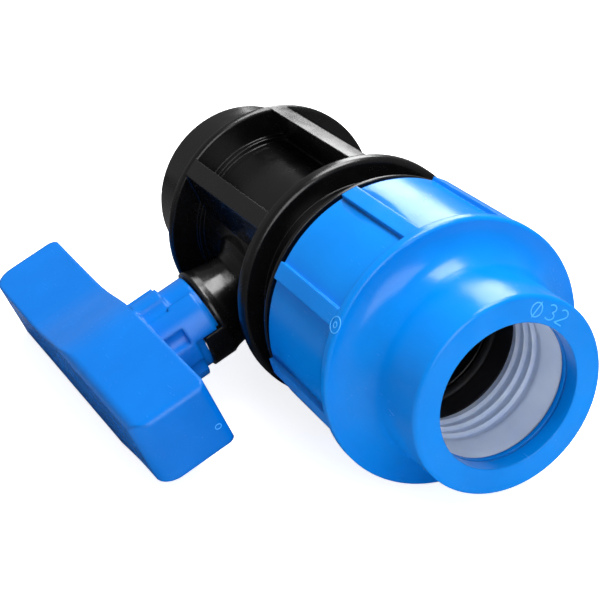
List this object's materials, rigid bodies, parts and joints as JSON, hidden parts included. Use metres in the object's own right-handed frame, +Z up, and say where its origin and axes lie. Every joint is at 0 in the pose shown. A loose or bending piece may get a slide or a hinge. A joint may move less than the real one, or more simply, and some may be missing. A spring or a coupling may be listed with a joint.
{
  "type": "ball valve",
  "caption": "Black plastic ball valve with a blue compression nut for 32 mm pipe, a threaded port at the other end and a blue wing handle.",
  "frame": {"origin": "centre of the threaded port's face, on the pipe axis", "axes": "+X along the pipe axis towards the compression nut, +Z up as the valve lies on a bench on its round collar with the edge of its handle touching, the stem pointing to -Y and slightly down"},
  "size_m": [0.1505, 0.0964, 0.0626],
  "materials": {
    "black_body": "satin moulded black polypropylene",
    "blue_plastic": "smooth moulded blue polypropylene",
    "white_collet": "satin milky acetal",
    "black_bush": "satin black polypropylene",
    "black_rubber": "smooth nitrile rubber",
    "seat_white": "turned PTFE",
    "ball_plastic": "polished moulded plastic",
    "stem_plastic": "moulded acetal"
  },
  "bodies": {
    "valve": {"valve_body": "black_body", "thrust_bush": "black_bush", "pipe_o_ring": "black_rubber", "rear_ball_seat": "seat_white", "front_ball_seat": "seat_white", "rear_seat_o_ring": "black_rubber", "front_seat_o_ring": "black_rubber", "seat_carrier": "black_bush", "carrier_o_ring": "black_rubber", "stem_thrust_washer": "stem_plastic"},
    "turning_handle": {"handle": "blue_plastic", "stem": "stem_plastic", "stem_o_ring_lower": "black_rubber", "stem_o_ring_upper": "black_rubber"},
    "turning_ball": {"ball": "ball_plastic"},
    "clamp": {"grip_ring": "white_collet"},
    "nut": {"compression_nut": "blue_plastic"}
  },
  "joints": [
    {"name": "handle_turn", "type": "hinge", "parent": "valve", "child": "turning_handle", "pos_m": [0.0415, 0, 0], "axis": [0, -0.9516, -0.3073], "range_deg": [0, 90]},
    {"name": "ball_turn", "type": "hinge", "parent": "valve", "child": "turning_ball", "pos_m": [0.0415, 0, 0], "axis": [0, -0.9516, -0.3073], "range_deg": [0, 90]},
    {"name": "clamp_slide", "type": "slide", "parent": "valve", "child": "clamp", "axis": [1, 0, 0], "range_m": [0, 0.01]},
    {"name": "nut_turn", "type": "hinge", "parent": "clamp", "child": "nut", "pos_m": [0.0985, 0, 0], "axis": [1, 0, 0], "range_deg": [0, 720]}
  ],
  "couplings": [
    {"joint": "ball_turn", "follows": "handle_turn", "ratio": 1},
    {"joint": "clamp_slide", "follows": "nut_turn", "m_per_rad": 0.00079577}
  ]
}
